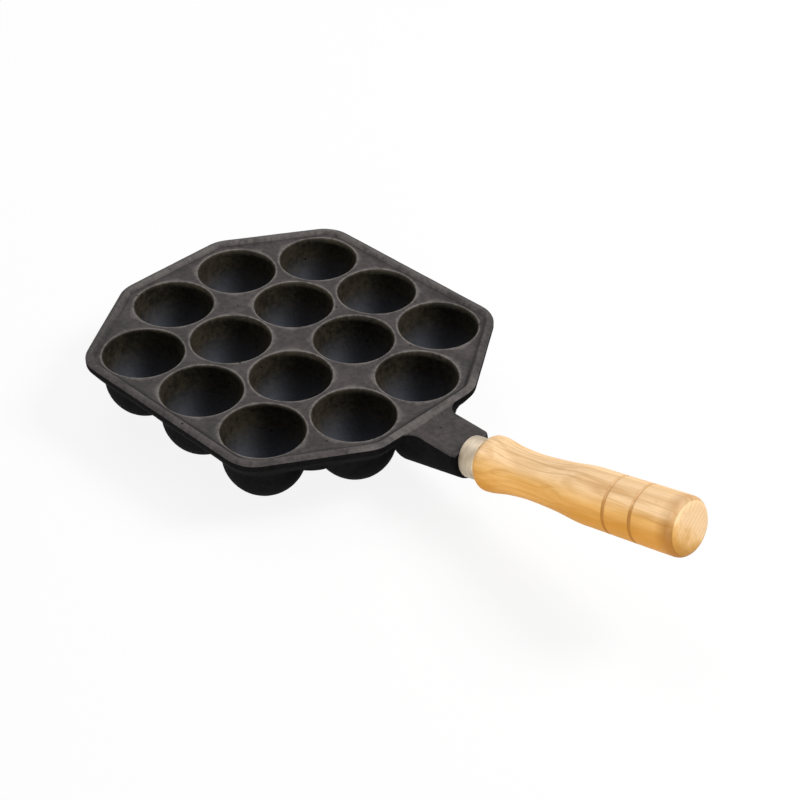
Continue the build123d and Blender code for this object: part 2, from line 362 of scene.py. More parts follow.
# lacquered pale wood, with painted shade in honey and amber low on the near side, its heart below and behind;
# sizes in millimetres.
# each grain has how far it is drawn out along the handle, then a noise's size, detail and roughness
wood = {
    "pale": (0.93, 0.64, 0.36, 1),
    "honey": (0.85, 0.51, 0.18, 1),
    "amber": (0.46, 0.20, 0.022, 1),
    "line": (0.38, 0.16, 0.035, 1),
    # painted shade for the grooves and before the butt
    "markShade": (0.33, 0.135, 0.02, 1),
    "heart": (0, 34.0, -46.0),
    "heartStretch": 16.0,
    "ringSpacing": 2.2,
    "ringShape": {"Distortion": 2.2, "Detail": 2.0, "Detail Scale": 1.2, "Detail Roughness": 0.5},
    "ringRange": (0.45, 1.0),
    "ringStrength": (0.24, 0.14),     # on the side, on the end face
    "fibre": (45.0, 0.45, 4.0, 0.65),
    "fibreRange": (0.48, 0.75, 0.0, 0.30),
    "fibreDepth": 0.05,
    "streak": (16.0, 2.6, 4.0, 0.55),
    "streakRange": (0.57, 0.78, 0.0, 0.42),
    "figure": (34.0, 5.0, 1.0, 0.4),  # a few long dark lines of grain run where this noise is at its middle
    "figureMiddle": 0.5,
    "figureRange": (0.035, 0.0, 0.0, 0.42),
    "patch": (5.0, 7.0, 3.0),
    "patchShift": (2.2, -2.2),
    "shadeSide": (0.0, 0.75, 0.66),   # direction away from the side with painted shade
    "shadePlace": (1.0, -12.0),
    "honeyRange": (0.0, 0.55),
    "amberRange": (0.25, 0.9, 0.0, 0.95),
    "markShadeRange": (0.0, 0.6, 0.4, 0.85),
    "grooveRange": (1.1, 0.7),        # distance from a groove's middle
    "butt": (112.0, 117.5),
    "faceDepth": 1.0,
    "fleckStretch": (1.6, 1, 1),
    "fleckSize": 3.2,
    "fleckShare": 0.3,
    "fleckRange": (0.16, 0.07, 0.0, 0.7),
    "fleckPlace": (98.0, 112.0),
    "roughness": (0.48, 0.62),
    "specular": 0.2,
}


def woodMaterial():
    material, tree, shader = startMaterial("turnedWood", {"Specular IOR Level": wood["specular"]})
    place = alongHandle(tree)
    fromHeart = moved(tree, place, Location=wood["heart"], Scale=(wood["heartStretch"], 1, 1))
    rings = wavesOf(tree, fromHeart, wood["ringSpacing"], wood["ringShape"],
                    wave_type="RINGS", rings_direction="X")
    fibre = grainOf(tree, place, *wood["fibre"])
    streak = grainOf(tree, place, *wood["streak"])
    figure = grainOf(tree, place, *wood["figure"])
    patch = spread(tree, grainOf(tree, place, *wood["patch"]), *wood["patchShift"])
    along = put(tree, "ShaderNodeSeparateXYZ", {"Vector": place}).outputs["X"]
    onFace = maths(tree, "GREATER_THAN", along, handle["start"] + handle["length"] - wood["faceDepth"])
    onSide = maths(tree, "SUBTRACT", 1.0, onFace)

    # painted shade: honey, then amber, towards the low near side, made uneven by a noise
    across = put(tree, "ShaderNodeVectorMath", {0: place, 1: wood["shadeSide"]}, operation="DOT_PRODUCT")
    shadeShare = ranged(tree, maths(tree, "ADD", across.outputs["Value"], patch), *wood["shadePlace"])
    colour = mixed(tree, ranged(tree, shadeShare, *wood["honeyRange"]), wood["pale"], wood["honey"])
    colour = mixed(tree, ranged(tree, shadeShare, *wood["amberRange"]), colour, wood["amber"])
    late = maths(tree, "MULTIPLY", ranged(tree, rings, *wood["ringRange"]),
                 ranged(tree, onFace, 0.0, 1.0, *wood["ringStrength"]))
    colour = mixed(tree, late, colour, wood["amber"])
    colour = mixed(tree, ranged(tree, streak, *wood["streakRange"]), colour, wood["line"])
    colour = mixed(tree, ranged(tree, fibre, *wood["fibreRange"]), colour, wood["line"])
    fromMiddle = maths(tree, "ABSOLUTE", maths(tree, "SUBTRACT", figure, wood["figureMiddle"]))
    vein = maths(tree, "MULTIPLY", ranged(tree, fromMiddle, *wood["figureRange"]), onSide)
    colour = mixed(tree, vein, colour, wood["amber"])

    # painted shade in the grooves and before the butt's rounding, more on the shaded side
    marks = ranged(tree, along, *wood["butt"])
    for groove in handle["grooves"]:
        away = maths(tree, "ABSOLUTE", maths(tree, "SUBTRACT", along, handle["start"] + groove))
        marks = maths(tree, "MAXIMUM", marks, ranged(tree, away, *wood["grooveRange"]))
    marks = maths(tree, "MULTIPLY", marks, onSide)
    shade = maths(tree, "MULTIPLY", marks, ranged(tree, shadeShare, *wood["markShadeRange"]))
    colour = mixed(tree, shade, colour, wood["markShade"])
    stretched = moved(tree, place, Scale=wood["fleckStretch"])
    spots = spotsOf(tree, stretched, wood["fleckSize"], wood["fleckShare"])
    flecks = maths(tree, "MULTIPLY", ranged(tree, spots, *wood["fleckRange"]),
                   ranged(tree, along, *wood["fleckPlace"]))
    colour = mixed(tree, flecks, colour, wood["line"])
    shape = bumped(tree, fibre, wood["fibreDepth"])
    joinUp(tree, shader, colour, spread(tree, fibre, *wood["roughness"]), shape)
    return material


# thin pale ring, with fine marks round it from turning; sizes in millimetres
ring = {
    "colour": (0.48, 0.405, 0.315, 1),
    "dull": (0.34, 0.275, 0.19, 1),
    "markSpacing": 0.28,
    "markShape": {"Distortion": 0.6, "Detail": 3.0},
    "markDepth": 0.006,
    "smearStretch": (1, 4, 4),
    "smears": (1.6, 4.0, 0.6),
    "smearRange": (0.4, 0.75),
    "roughness": (0.46, 0.60),
    "length": 8.7,
    "radius": 9.65,
    "wall": 0.8,
    "edge": 0.25,
    "edgeSteps": 4,
    "roundSteps": 96,
}


def ringMaterial():
    material, tree, shader = startMaterial("ringMetal", {"Metallic": 1})
    place = alongHandle(tree)
    marks = wavesOf(tree, place, ring["markSpacing"], ring["markShape"],
                    wave_type="BANDS", bands_direction="X")
    smears = noiseOf(tree, moved(tree, place, Scale=ring["smearStretch"]), *ring["smears"])
    colour = mixed(tree, ranged(tree, smears, *ring["smearRange"]), ring["colour"], ring["dull"])
    shape = bumped(tree, marks, ring["markDepth"])
    joinUp(tree, shader, colour, spread(tree, smears, *ring["roughness"]), shape)
    return material


# hidden steel stud with a rolled thread; sizes in millimetres
stud = {
    "colour": (0.46, 0.46, 0.45, 1),
    "oiled": (0.22, 0.20, 0.18, 1),
    "stains": (1.8, 4.0, 0.6),
    "stainRange": (0.45, 0.7),
    "grainSize": 0.2,
    "grainDepth": 0.01,
    "roughness": (0.28, 0.45),
    "start": -15.0,
    "end": 42.0,
    "radius": 4.0,
    "pitch": 1.25,
    "threadDepth": 0.68,
    "flankHeight": 1.25,      # of the thread's form, before its crest and root are cut flat at 1 and 0
    "flankSlope": 2.9,
    "chamfer": 0.8,
    "ringsPerTurn": 12,
    "roundSteps": 36,
}


def studMaterial():
    material, tree, shader = startMaterial("studSteel", {"Metallic": 1})
    place = alongHandle(tree)
    stains = noiseOf(tree, place, *stud["stains"])
    colour = mixed(tree, ranged(tree, stains, *stud["stainRange"]), stud["colour"], stud["oiled"])
    shape = bumped(tree, noiseOf(tree, place, stud["grainSize"]), stud["grainDepth"])
    joinUp(tree, shader, colour, spread(tree, stains, *stud["roughness"]), shape)
    return material


def looseObject(name, form):
    bmesh.ops.recalc_face_normals(form, faces=form.faces)
    mesh = bpy.data.meshes.new(name)
    form.to_mesh(mesh)
    form.free()
    return newObject(name, mesh)


def smoothOver(mesh, sharpAngle=35):
    mesh.shade_smooth()
    mesh.set_sharp_from_angle(angle=math.radians(sharpAngle))


def clamped(value, low=0, high=1):
    return min(max(value, low), high)


# angles round an arc in even steps; first leaves out the ones before it
def arcAngles(steps, turn=90, start=0, first=0):
    return [math.radians(start + turn * i / steps) for i in range(first, steps + 1)]


# gentle start and end for a share between 0 and 1
def eased(share):
    return share * share * (3 - 2 * share)


# surface turned about the handle's axis; radiusAt can change a profile point's radius by its angle
def turnedPiece(name, profile, steps, material, radiusAt=None, closed=False):
    form = bmesh.new()
    loops = []
    for along, radius in profile:
        if radius == 0:
            loops.append([form.verts.new(axisPoint(along, 0, 0))])
        else:
            angles = [2 * math.pi * i / steps for i in range(steps)]
            radii = [radiusAt(along, radius, a) if radiusAt else radius for a in angles]
            loops.append([form.verts.new(axisPoint(along, a, r)) for a, r in zip(angles, radii)])
    pairs = list(zip(loops, loops[1:]))
    if closed:
        pairs.append((loops[-1], loops[0]))
    for first, second in pairs:
        for i in range(steps):
            j = (i + 1) % steps
            if len(first) == 1:
                form.faces.new((first[0], second[j], second[i]))
            elif len(second) == 1:
                form.faces.new((first[i], first[j], second[0]))
            else:
                form.faces.new((first[i], first[j], second[j], second[i]))
    piece = looseObject(name, form)
    piece.data.materials.append(material)
    smoothOver(piece.data)
    return piece


def addRing():
    inside = ring["radius"] - ring["wall"]
    edge = ring["edge"]
    shoulder = ring["radius"] - edge
    profile = [(0, inside)]
    for along, start in ((edge, 180), (ring["length"] - edge, 90)):
        for angle in arcAngles(ring["edgeSteps"], -90, start):
            profile.append((along + edge * math.cos(angle), shoulder + edge * math.sin(angle)))
    profile.append((ring["length"], inside))
    piece = turnedPiece("ferrule_ring", profile, ring["roundSteps"], ringMaterial(), closed=True)
    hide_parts("ferrule")
    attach(piece, "ferrule_ring")


def addStud():
    def threadRadius(along, radius, angle):
        turn = (along / stud["pitch"] - angle / (2 * math.pi)) % 1      # 0.5 is the crest's middle
        crest = clamped(stud["flankHeight"] - stud["flankSlope"] * abs(turn - 0.5))
        end = min(along - stud["start"], stud["end"] - along)
        return min(radius - stud["threadDepth"] * (1 - crest), radius - stud["chamfer"] + end)

    length = stud["end"] - stud["start"]
    count = round(length / stud["pitch"] * stud["ringsPerTurn"])
    step = length / count
    profile = [(stud["start"], 0)]
    profile += [(stud["start"] + step * i, stud["radius"]) for i in range(count + 1)]
    profile.append((stud["end"], 0))
    piece = turnedPiece("threaded_stud", profile, stud["roundSteps"], studMaterial(), threadRadius)
    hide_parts("handle_stud")
    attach(piece, "handle")


# turned handle, each station measured from the ferrule's outer end: place, radius, slope
handle = {
    "start": ring["length"],
    "length": 112.3,
    "stations": (
        (0.0, 9.65, 1.0),
        (4.6, 12.8, 0.0),
        (17.0, 11.1, -0.098),
        (29.0, 10.4, 0.0),
        (44.5, 11.1, 0.07),
        (62.5, 12.75, 0.0),
        (108.3, 13.0, 0.0),
    ),
    "step": 0.8,
    "buttRounding": 4.0,
    "buttSteps": 8,
    "grooves": (76.3, 90.3),
    "grooveRadius": 0.8,
    "grooveDepth": 0.5,
    "grooveHalf": 0.78,       # reach of its points to either side
    "grooveSteps": 8,
    "tenonRadius": 8.8,
    "tenonSetback": 0.5,
    "boreRadius": 4.05,
    "boreEnd": 45.0,
    "roundSteps": 128,
    "unevenness": 0.06,
    "unevenLength": 14.0,
    "unevenStart": 2.0,
}


def stationRadius(place):
    stations = handle["stations"]
    for (x0, r0, s0), (x1, r1, s1) in zip(stations, stations[1:]):
        if place <= x1:
            break
    width = x1 - x0
    t = (place - x0) / width
    rise = r0 * (2 * t ** 3 - 3 * t ** 2 + 1) + r1 * (3 * t ** 2 - 2 * t ** 3)
    return rise + width * (s0 * (t ** 3 - 2 * t ** 2 + t) + s1 * (t ** 3 - t ** 2))


def grooveCut(place, radius):
    for groove in handle["grooves"]:
        away = abs(place - groove)
        if away < handle["grooveRadius"]:
            bottom = radius + handle["grooveRadius"] - handle["grooveDepth"]
            cut = bottom - math.sqrt(handle["grooveRadius"] ** 2 - away ** 2)
            radius = min(radius, cut)
    return radius


def addHandle():
    last, buttRadius = handle["stations"][-1][:2]
    count = round(last / handle["step"])
    places = [last * i / count for i in range(count + 1)]
    half, steps = handle["grooveHalf"], handle["grooveSteps"]
    for groove in handle["grooves"]:
        places = [p for p in places if abs(p - groove) > handle["grooveRadius"]]
        places += [groove + half * math.sin(math.pi * i / (2 * steps)) for i in range(-steps, steps + 1)]
    start = handle["start"]
    end = start + handle["length"]
    profile = [
        (handle["boreEnd"], 0),
        (handle["boreEnd"], handle["boreRadius"]),
        (handle["tenonSetback"], handle["boreRadius"]),
        (handle["tenonSetback"], handle["tenonRadius"]),
        (start, handle["tenonRadius"]),
    ]
    profile += [(start + p, grooveCut(p, stationRadius(p))) for p in sorted(places)]
    corner, steps = handle["buttRounding"], handle["buttSteps"]
    flat = buttRadius - corner
    for angle in arcAngles(steps, first=1):
        profile.append((end - corner + corner * math.sin(angle), flat + corner * math.cos(angle)))
    profile += [(end, flat * (1 - i / steps)) for i in range(1, steps)]
    profile.append((end, 0))

    def uneven(along, radius, angle):
        if along < start + handle["unevenStart"]:
            return radius
        place = Vector((along / handle["unevenLength"], math.cos(angle), math.sin(angle)))
        return radius - handle["unevenness"] * (1 + noise.noise(place))

    piece = turnedPiece("turned_handle", profile, handle["roundSteps"], woodMaterial(), uneven)
    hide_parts("wood_handle")
    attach(piece, "handle")


addRing()
addStud()
addHandle()
print("ring, stud and handle made")

# casting: one cell for each cup, above and below, with the rim between; millimetres from the plate's middle
plate = {
    "reaches": ((0.0, 90.1), (32.6, 92.3), (90.0, 82.7), (147.4, 92.3),    # its edges' directions
                (180.0, 90.1), (212.6, 92.3), (270.0, 82.7), (327.4, 92.3)),   # and distances
    "cornerRadius": 17.0,
    "cornerStep": 6.0,        # degrees between points round a corner
    "profileSteps": 4,        # points round each corner of the rim's profile
    "edgeStep": 2.0,
    "surfaceInset": 5.4,      # where the flat surface starts
    "underInset": 4.2,        # where the domes take over from the edge
    "rim": ((5.0, 0.0, 0.8), (3.4, 1.9, 0.9), (2.7, 1.9, 0.9), (0.0, 1.1, 1.0), (0.0, -2.2, 1.6)),
    "leanStart": -2.2,
    "leanSlope": 4.3 / 3.0,
    "leanEnd": 2.6,
    "thickness": 6.5,
    "unevenness": 0.12,
    "unevenSize": 17.0,
    "unevenShares": (0.5, 0.6, 0.25),     # middle, slow part and fine part
    "fineTimes": 4,           # how many times finer the fine part is
    "weldDistance": 0.002,
    "leastEdge": 0.001,
    "sharpAngle": 50,
}
cups = {
    "rows": ((3, 56.9), (4, 20.5), (4, -20.5), (3, -56.9)),
    "pitch": 42.0,
    "nearPitches": 2.5,       # cups further off than this share no side
    "mouth": 20.15,
    "lip": 1.1,
    "sideRadius": 29.09,
    "bottomRadius": 16.0,
    "bottomCentre": 9.5,
    "bend": 39.92,            # degrees below level where the sides turn into the bottom
    "landRings": 3,
    "lipRings": 5,
    "sideRings": 12,
    "bottomRings": 9,
}
domes = {
    "radius": 19.5,
    "centre": 13.226,
    "footRadius": 4.5,
    "flare": 6.5,
    "valley": 12.0,           # how softly two neighbouring domes run together
    "valleyStart": 2.3,       # depth under the plate over which that begins
    "cornerSpot": (72.9, 51.7),   # the edge is thicker between the two end domes at each corner
    "cornerFill": 3.0,
    "cornerReach": 14.0,
    "flareRings": 8,
    "roundRings": 15,
}
block = {
    "face": (117.3, -5.5),    # end face on the handle's axis
    "length": 44.0,
    "halfWidth": 12.1,
    "rise": 1.7,              # axis up to the middle of the round underside
    "top": 0.6,
    "edgeTop": 1.08,          # height of its top at the plate's edge, and slope from there
    "edgeSlope": 0.8 / 2.7,
    "buryFrom": 0.9,          # inside the plate's edge
    "buryOver": 1.0,
    "topRounding": 1.1,
    "endRounding": 2.2,
    "rootRounding": 8.0,
    "webTop": (90.1, 5.0),    # plate's edge and hollow radius of the web, at the top
    "webBottom": (87.1, 13.0),
    "webFade": 0.9,
    "holeRadius": 4.05,
    "holeDepth": 20.0,
    "holePoint": 1.0,
    "step": 1.5,
    "topSteps": 6,
    "topRoundSteps": 5,
    "sideSteps": 14,
    "roundSteps": 10,
    "endRings": 8,
    "faceRings": 6,
    "holeRings": 8,
    "buried": -1.5,           # height of its hidden top inside the plate
    "edgePlaces": (-2.1, -1.7, -1.3, -0.9, -0.4, 0.4, 1.0, 1.7, 2.4),
    "cutterSpare": 0.5,
    "cutterTop": 4.0,
    "cutterSteps": 64,
}
centres = [((i - (count - 1) / 2) * cups["pitch"], y) for count, y in cups["rows"] for i in range(count)]


# new point, measured from the plate's middle
def addPoint(form, x, y, z):
    return form.verts.new(plateMiddle + Vector((x, y, z)) * mm)


# new point by its distance from a cup's axis, in a direction
def addSpoke(form, centre, direction, r, z):
    return addPoint(form, centre[0] + direction[0] * r, centre[1] + direction[1] * r, z)


# the outline as spine points with outward directions; a point of any inset lies along its direction
def outlineSpine():
    radius = plate["cornerRadius"]
    edges = [(math.radians(angle), reach - radius) for angle, reach in plate["reaches"]]
    corners = []
    for (a, p), (b, q) in zip(edges, edges[1:] + edges[:1]):
        cross = math.sin(b - a)
        x = (p * math.sin(b) - q * math.sin(a)) / cross
        y = (q * math.cos(a) - p * math.cos(b)) / cross
        corners.append((x, y))
    spine = []
    for k in range(len(edges)):
        first = edges[k][0]
        second = edges[(k + 1) % len(edges)][0] + (2 * math.pi if k == len(edges) - 1 else 0)
        count = math.ceil(math.degrees(second - first) / plate["cornerStep"])
        for i in range(count + 1):
            angle = first + (second - first) * i / count
            spine.append((corners[k], (math.cos(angle), math.sin(angle))))
        here, there = corners[k], corners[(k + 1) % len(edges)]
        length = math.dist(here, there)
        count = max(round(length / plate["edgeStep"]), 1)
        outward = (math.cos(second), math.sin(second))
        spine += [(between(here, there, i / count), outward) for i in range(1, count)]
    return spine


def outlinePoint(spot, inset):
    (x, y), (nx, ny) = spot
    out = plate["cornerRadius"] - inset
    return x + nx * out, y + ny * out


def between(first, second, share):
    return tuple(a + (b - a) * share for a, b in zip(first, second))


# one cup's share of the plate: each corner has its place, its spot on the outline if it is on it,
# and whether the side to the next corner follows the outline
def cellOf(centre, spine):
    cell = [(outlinePoint(spot, plate["surfaceInset"]), spot, True) for spot in spine]
    for other in centres:
        if other == centre or math.dist(other, centre) > cups["nearPitches"] * cups["pitch"]:
            continue
        middle = between(centre, other, 0.5)
        away = (other[0] - centre[0], other[1] - centre[1])

        def beyond(corner):
            return (corner[0][0] - middle[0]) * away[0] + (corner[0][1] - middle[1]) * away[1]

        kept = []
        for here, there in zip(cell, cell[1:] + cell[:1]):
            a, b = beyond(here), beyond(there)
            if a <= 0:
                kept.append(here)
            if (a < 0 < b) or (b < 0 < a):
                share = a / (a - b)
                spot = None
                if here[2]:
                    spot = tuple(between(first, second, share) for first, second in zip(here[1], there[1]))
                kept.append((between(here[0], there[0], share), spot, here[2] and a > 0))
        cell = kept
    rim = []
    for here, there in zip(cell, cell[1:] + cell[:1]):
        rim.append(here)
        if not here[2]:
            count = max(round(math.dist(here[0], there[0]) / plate["edgeStep"]), 1)
            rim += [(between(here[0], there[0], i / count), None, False) for i in range(1, count)]
    return rim


# a profile of straight runs with its corners rounded; each corner is inset, height, radius
def roundedProfile(start, corners, end, steps):
    points = [start]
    stops = [start] + [corner[:2] for corner in corners] + [end]
    for before, (x, z, radius), after in zip(stops, corners, stops[2:]):
        corner = Vector((x, z))
        back = (Vector(before) - corner).normalized()
        ahead = (Vector(after) - corner).normalized()
        turn = math.pi - back.angle(ahead)
        reach = radius * math.tan(turn / 2)
        middle = corner + (back + ahead).normalized() * math.hypot(radius, reach)
        first = corner + back * reach - middle
        second = corner + ahead * reach - middle
        for i in range(steps + 1):
            part = i / steps
            arm = first * math.sin((1 - part) * turn) + second * math.sin(part * turn)
            points.append(tuple(middle + arm / math.sin(turn)))
    points.append(end)
    return points


def flareDepth(distance):
    reach = domes["radius"] + domes["flare"]
    if distance >= reach:
        return plate["thickness"]
    inward = min(reach - distance, domes["flare"])
    return plate["thickness"] + domes["flare"] - math.sqrt(domes["flare"] ** 2 - inward ** 2)


# depth below the surface where a dome runs into its neighbours
def joinedDepth(x, y, own, centre):
    away = math.dist((abs(x), abs(y)), domes["cornerSpot"]) / domes["cornerReach"]
    total = own + domes["cornerFill"] * max(1 - away * away, 0) ** 2
    for other in centres:
        if other == centre:
            continue
        near = flareDepth(math.dist((x, y), other))
        share = max(domes["valley"] - abs(own - near), 0) / domes["valley"]
        rise = min(min(own, near) - plate["thickness"], domes["valleyStart"]) / domes["valleyStart"]
        total += share * share * domes["valley"] / 4 * rise
    return total


def underDepth(x, y, centre):
    return joinedDepth(x, y, flareDepth(math.dist((x, y), centre)), centre)


def cupProfile(spare=0.0):
    points = []
    lip = cups["lip"]
    for angle in arcAngles(cups["lipRings"]):
        points.append((cups["mouth"] + spare - lip * math.sin(angle), -lip * (1 - math.cos(angle))))
    sideCentre = cups["mouth"] - lip - cups["sideRadius"]
    reach = cups["sideRadius"] + spare
    for angle in arcAngles(cups["sideRings"], cups["bend"], first=1):
        points.append((sideCentre + reach * math.cos(angle), -lip - reach * math.sin(angle)))
    reach = cups["bottomRadius"] + spare
    for angle in arcAngles(cups["bottomRings"], 90 - cups["bend"], cups["bend"], 1):
        points.append((reach * math.cos(angle), -cups["bottomCentre"] - reach * math.sin(angle)))
    return points[:-1], points[-1][1]


def domeProfile():
    points = []
    radius = domes["radius"]
    foot = math.acos(domes["footRadius"] / radius)
    for i in range(domes["roundRings"] + 1):
        angle = foot * i / domes["roundRings"]
        points.append((radius * math.cos(angle), domes["centre"] + radius * math.sin(angle)))
    return points + [(domes["footRadius"] / 2, points[-1][1])]


def spoke(centre, place):
    direction = Vector((place[0] - centre[0], place[1] - centre[1]))
    return direction / direction.length, direction.length


# points from a corner of the cell over the land and down into the cup
def topLine(form, centre, place, hollow):
    direction, distance = spoke(centre, place)
    rings = cups["landRings"]
    points = [(distance + (cups["mouth"] - distance) * i / rings, 0) for i in range(rings)]
    return [addSpoke(form, centre, direction, r, z) for r, z in points + hollow]


# points from a corner of the cell over the flare and down the dome
def underLine(form, centre, place, bulge):
    direction, distance = spoke(centre, place)
    flare = domes["flare"]
    reach = domes["radius"] + flare
    level = max(distance - reach, 0)
    startAngle = math.asin(clamped((reach - distance) / flare))
    curve = flare * (math.pi / 2 - startAngle)
    points = []
    for i in range(1, domes["flareRings"] + 1):
        travelled = (level + curve) * i / domes["flareRings"]
        if travelled <= level:
            points.append((distance - travelled, plate["thickness"]))
        else:
            angle = startAngle + (travelled - level) / flare
            depth = plate["thickness"] + flare * (1 - math.cos(angle))
            points.append((reach - flare * math.sin(angle), depth))
    line = [addPoint(form, *place, -underDepth(*place, centre))]
    for r, depth in points + bulge[1:]:
        x, y = centre[0] + direction.x * r, centre[1] + direction.y * r
        line.append(addPoint(form, x, y, -joinedDepth(x, y, depth, centre)))
    return line


def rimLine(form, centre, spot, rimProfile):
    line = []
    for inset, z in rimProfile:
        x, y = outlinePoint(spot, inset)
        if z < plate["leanStart"] and inset > plate["leanEnd"]:
            share = (inset - plate["leanEnd"]) / (plate["underInset"] - plate["leanEnd"])
            z += eased(share) * (-underDepth(x, y, centre) - z)
        line.append(addPoint(form, x, y, z))
    return line


def addCell(form, centre, spine, rimProfile):
    cell = cellOf(centre, spine)
    hollow, floorZ = cupProfile()
    bulge = domeProfile()
    topLines = []
    underLines = []
    rimLines = []
    for corner in cell:
        place, spot = corner[:2]
        topLines.append(topLine(form, centre, place, hollow))
        under = outlinePoint(spot, plate["underInset"]) if spot else place
        underLines.append(underLine(form, centre, under, bulge))
        rimLines.append(rimLine(form, centre, spot, rimProfile) if spot else None)
    topPole = addPoint(form, *centre, floorZ)
    underPole = addPoint(form, *centre, -bulge[-1][1])
    count = len(cell)
    for i in range(count):
        j = (i + 1) % count
        joinLines(form, topLines[i], topLines[j])
        form.faces.new((topLines[i][-1], topLines[j][-1], topPole))
        joinLines(form, underLines[j], underLines[i])
        form.faces.new((underLines[j][-1], underLines[i][-1], underPole))
        if cell[i][2]:
            joinLines(form, rimLines[j], rimLines[i])


def joinLines(form, first, second):
    for i in range(len(first) - 1):
        form.faces.new((first[i], second[i], second[i + 1], first[i + 1]))


def rimProfilePoints():
    lean = plate["leanSlope"]
    end = (plate["leanEnd"], plate["leanStart"] - lean * plate["leanEnd"])
    steps = plate["profileSteps"]
    points = roundedProfile((plate["surfaceInset"], 0.0), plate["rim"], end, steps)
    for i in range(1, steps + 1):
        inset = plate["leanEnd"] + (plate["underInset"] - plate["leanEnd"]) * i / steps
        points.append((inset, plate["leanStart"] - lean * inset))
    return points


def plateForm():
    form = bmesh.new()
    spine = outlineSpine()
    rimProfile = rimProfilePoints()
    for centre in centres:
        addCell(form, centre, spine, rimProfile)
    bmesh.ops.remove_doubles(form, verts=form.verts, dist=plate["weldDistance"] * mm)
    bmesh.ops.dissolve_degenerate(form, edges=form.edges, dist=plate["leastEdge"] * mm)
    return form


# how far a rounded edge of this radius has come in, at a place along it
def roundedIn(radius, place):
    return radius - math.sqrt(radius ** 2 - place ** 2)


# the web widens the block where it meets the plate's edge
def webWidth(x, z):
    share = clamped((plate["leanStart"] - z) / (plate["thickness"] + plate["leanStart"]))
    edge, radius = between(block["webTop"], block["webBottom"], share)
    width = roundedIn(radius, clamped(edge + radius - x, 0, radius))
    fade = clamped((-plate["thickness"] - z) / block["webFade"])
    return width * (1 - eased(fade))


def blockTop(x):
    edge = plate["reaches"][0][1]
    z = max(block["top"], block["edgeTop"] - (x - edge) * block["edgeSlope"])
    buried = clamped((edge - block["buryFrom"] - x) / block["buryOver"])
    return z + buried * (block["buried"] - z)


def facePoint(along, side, up):
    return axisStart + (axisAlong * along + axisSide * side + axisUp * up) * mm


# one section of the block, square to the handle's axis, from the top's middle round by both sides
def blockSection(form, along, top, cosine, sine):
    faceX, faceZ = block["face"]
    end, root, rounding = block["endRounding"], block["rootRounding"], block["topRounding"]
    trim = roundedIn(end, max(end + along, 0))
    trim += roundedIn(root, clamped(root - block["length"] - along, 0, root))
    top -= roundedIn(rounding, max(rounding + along, 0))
    half = block["halfWidth"] - trim

    def halfAt(up):
        return half + webWidth(faceX + along * cosine - up * sine, faceZ + along * sine + up * cosine)

    points = []
    flat = halfAt(top) - rounding
    for i in range(block["topSteps"]):
        points.append((flat * i / block["topSteps"], top))
    for angle in arcAngles(block["topRoundSteps"])[:-1]:
        points.append((flat + rounding * math.sin(angle), top - rounding * (1 - math.cos(angle))))
    for i in range(block["sideSteps"]):
        up = top - rounding + (block["rise"] - top + rounding) * i / block["sideSteps"]
        points.append((halfAt(up), up))
    for angle in arcAngles(block["roundSteps"]):
        points.append((half * math.cos(angle), block["rise"] - half * math.sin(angle)))
    right = [form.verts.new(facePoint(along, side, up)) for side, up in points]
    left = [form.verts.new(facePoint(along, -side, up)) for side, up in points[-2:0:-1]]
    return right + left


def joinRings(form, first, second):
    for i in range(len(first)):
        form.faces.new((first[i - 1], first[i], second[i], second[i - 1]))


def closeRing(form, ring, pole):
    for i in range(len(ring)):
        form.faces.new((ring[i - 1], ring[i], pole))


def blockForm():
    form = bmesh.new()
    faceX, faceZ = block["face"]
    cosine, sine = math.cos(handleTilt), math.sin(handleTilt)
    endX = faceX - (block["top"] - faceZ) * sine / cosine
    rootX = faceX - (block["length"] + (block["buried"] - faceZ) * sine) / cosine
    edge = plate["reaches"][0][1]
    rounded = block["endRounding"] * cosine
    roundX = endX - rounded
    count = round((roundX - rootX) / block["step"])
    places = [rootX + (roundX - rootX) * i / count for i in range(count)]
    places += [edge + shift for shift in block["edgePlaces"]]
    for i in range(block["endRings"] + 1):
        places.append(endX - rounded * (1 - math.sin(math.pi / 2 * i / block["endRings"])))
    sections = []
    for x in sorted(places):
        z = blockTop(x)
        along = min((x - faceX) * cosine + (z - faceZ) * sine, 0)
        top = (z - faceZ) * cosine - (x - faceX) * sine
        sections.append(blockSection(form, along, top, cosine, sine))
    for first, second in zip(sections, sections[1:]):
        joinRings(form, first, second)
    middle = sum((vertex.co for vertex in sections[0]), Vector()) / len(sections[0])
    closeRing(form, sections[0], form.verts.new(middle))
    last = sections[-1]
    arms = [(vertex.co - axisStart) / mm for vertex in last]
    hole = block["holeRadius"]
    for i in range(1, block["faceRings"] + 1):
        rims = [arm + (arm.normalized() * hole - arm) * i / block["faceRings"] for arm in arms]
        ring = [form.verts.new(axisStart + rim * mm) for rim in rims]
        joinRings(form, last, ring)
        last = ring
    for i in range(1, block["holeRings"] + 1):
        shift = facePoint(-block["holeDepth"] * i / block["holeRings"], 0, 0)
        ring = [form.verts.new(shift + arm.normalized() * hole * mm) for arm in arms]
        joinRings(form, last, ring)
        last = ring
    closeRing(form, last, form.verts.new(facePoint(-block["holeDepth"] - block["holePoint"], 0, 0)))
    return form


# solid of one cup's hollow, a little larger, to keep the block out of it
def hollowForm(centre):
    form = bmesh.new()
    profile, bottom = cupProfile(block["cutterSpare"])
    profile = [(profile[0][0], block["cutterTop"])] + profile
    steps = block["cutterSteps"]
    angles = [2 * math.pi * i / steps for i in range(steps)]
    last = None
    for radius, z in profile:
        ring = [addSpoke(form, centre, (math.cos(a), math.sin(a)), radius, z) for a in angles]
        if last:
            joinRings(form, last, ring)
        else:
            closeRing(form, ring, addPoint(form, *centre, z))
        last = ring
    closeRing(form, last, addPoint(form, *centre, bottom))
    return form


